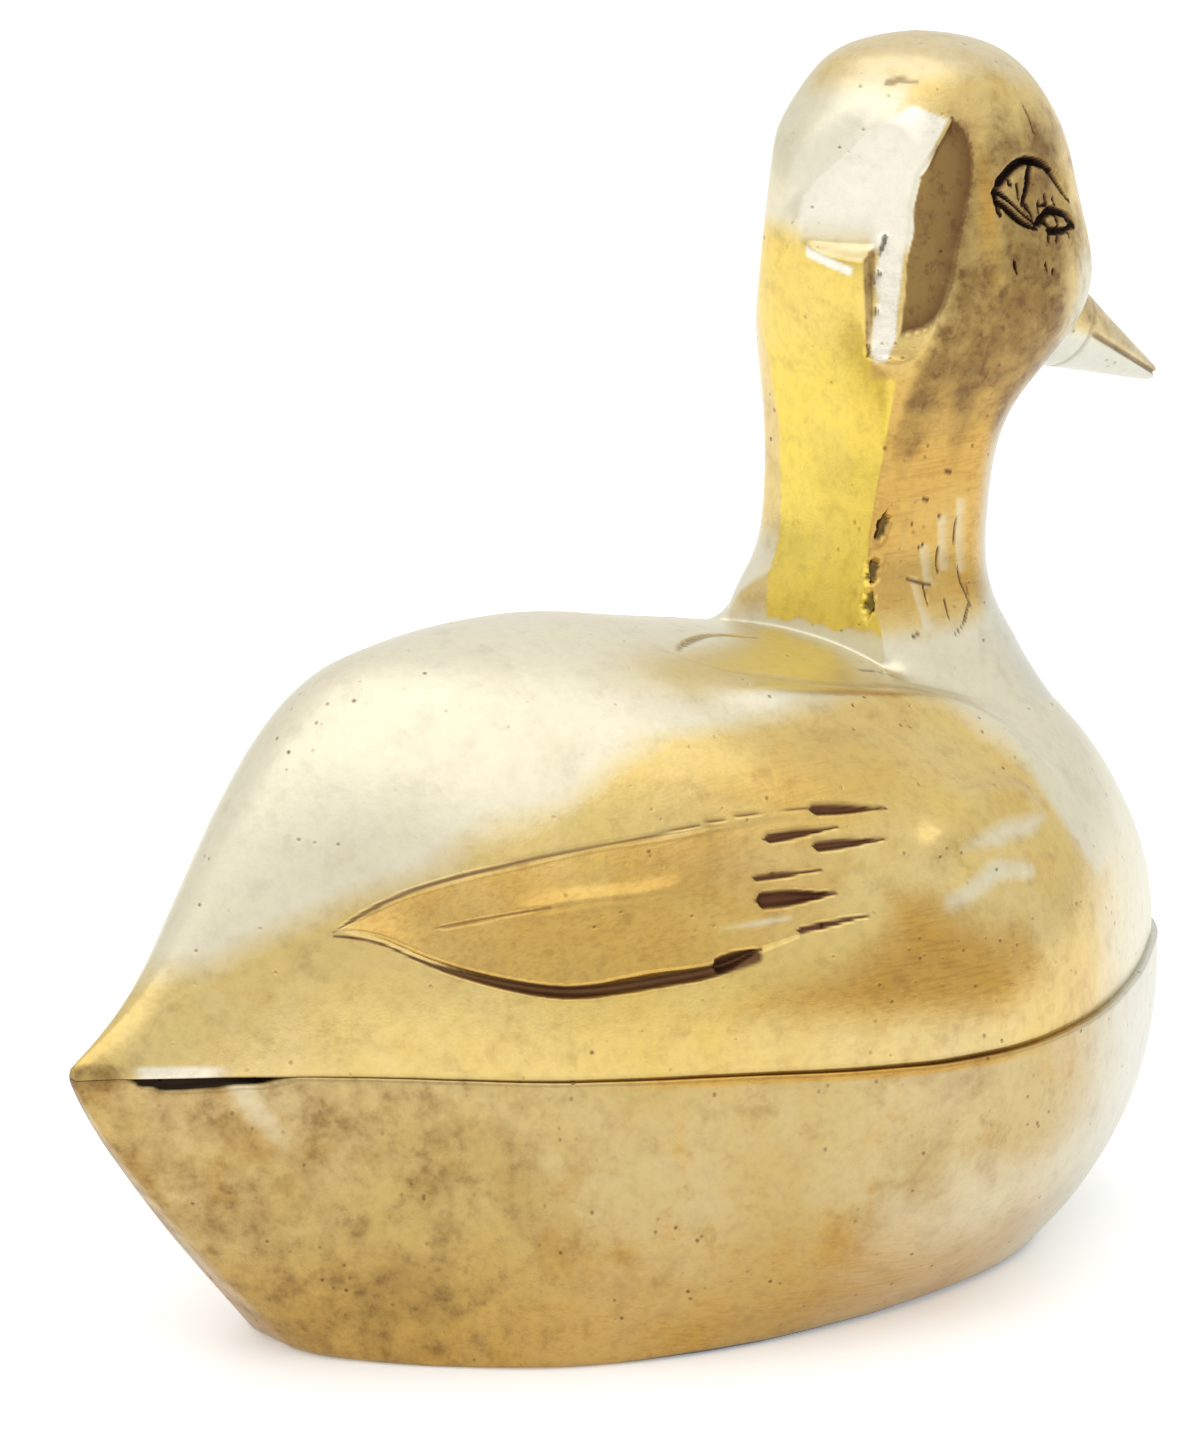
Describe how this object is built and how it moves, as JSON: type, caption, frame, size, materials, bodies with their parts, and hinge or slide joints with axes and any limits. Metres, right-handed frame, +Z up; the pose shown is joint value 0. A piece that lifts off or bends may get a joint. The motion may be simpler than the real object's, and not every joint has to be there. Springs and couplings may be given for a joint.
{
  "type": "duck ornament",
  "caption": "Hollow cast-metal duck ornament: domed back, sharp low tail, carved wings, upright neck with filed flats, wedge bill, flat foot to stand on.",
  "frame": {"origin": "centre of the flat foot, on the surface the duck stands on", "axes": "+X from the tail to the breast and bill, +Y to the duck's left, +Z up"},
  "size_m": [0.1454, 0.0902, 0.1346],
  "materials": {
    "polished_brass": "hand polished, worn",
    "aged_brass": "polished with brown patina in the low places"
  },
  "bodies": {
    "root": {"lower_hull": "aged_brass", "upper_body": "polished_brass", "neck_and_head": "polished_brass", "bill": "polished_brass"}
  },
  "joints": []
}
